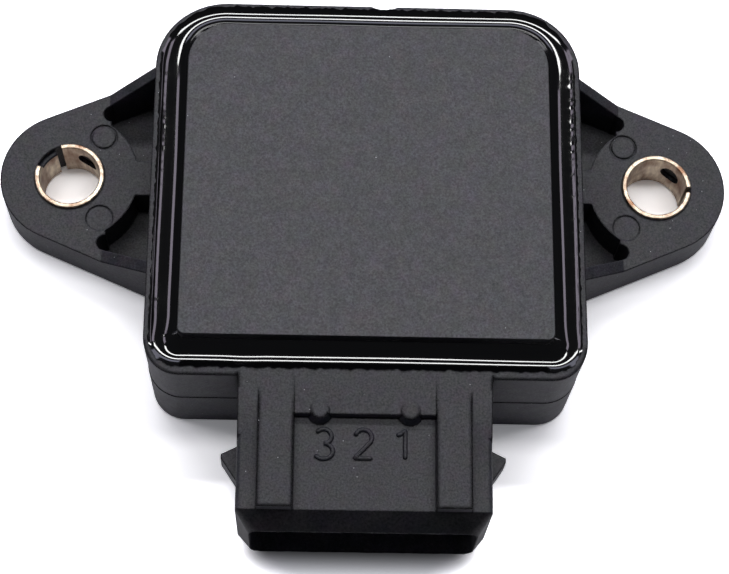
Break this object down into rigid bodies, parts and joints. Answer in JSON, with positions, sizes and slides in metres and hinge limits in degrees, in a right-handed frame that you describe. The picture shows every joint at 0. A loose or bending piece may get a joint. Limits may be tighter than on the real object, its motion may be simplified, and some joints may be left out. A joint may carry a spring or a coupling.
{
  "type": "throttle position sensor",
  "caption": "Rotary throttle position sensor: a potentiometer in a sealed black housing with fixing ears, a D-shaft rotor and a blade header.",
  "frame": {"origin": "on the rotor axis, midway between the two fixing holes, in the mounting face", "axes": "+Z towards the cover, +X along the line of the two fixing holes, the header points along -Y"},
  "size_m": [0.074, 0.0528, 0.0184],
  "materials": {
    "housing_plastic": "spark-eroded black glass-filled moulding",
    "cover_plastic": "fine matte black moulding",
    "epoxy": "glossy black potting",
    "bushing_brass": "rolled, yellow-passivated sheet",
    "seal_rubber": "matte black rubber",
    "rotor_plastic": "natural moulding",
    "carrier_plastic": "brown moulding",
    "wiper_alloy": "bright spring alloy",
    "spring_steel": "blank spring steel",
    "board_ceramic": "unglazed alumina",
    "resistor_ink": "printed carbon ink",
    "silver_ink": "printed silver",
    "terminal_tin": "tinned strip",
    "solder": "bright solder"
  },
  "bodies": {
    "base": {"housing": "housing_plastic", "cover": "cover_plastic", "sealant": "epoxy", "bushing_left": "bushing_brass", "bushing_right": "bushing_brass", "o_ring": "seal_rubber", "shaft_seal": "seal_rubber", "thrust_washer": "rotor_plastic", "resistor_board": "board_ceramic", "resistor_track": "resistor_ink", "collector_track": "resistor_ink", "conductors": "silver_ink", "terminal_1": "terminal_tin", "terminal_2": "terminal_tin", "terminal_3": "terminal_tin", "solder_joint_1": "solder", "solder_joint_2": "solder", "solder_joint_3": "solder"},
    "rotor": {"rotor": "rotor_plastic", "wiper_carrier": "carrier_plastic", "wiper": "wiper_alloy", "preload_spring": "spring_steel"}
  },
  "joints": [
    {"name": "rotor_turn", "type": "hinge", "parent": "base", "child": "rotor", "pos_m": [0, 0, 0.003], "axis": [0, 0, 1], "range_deg": [0, 95]}
  ]
}
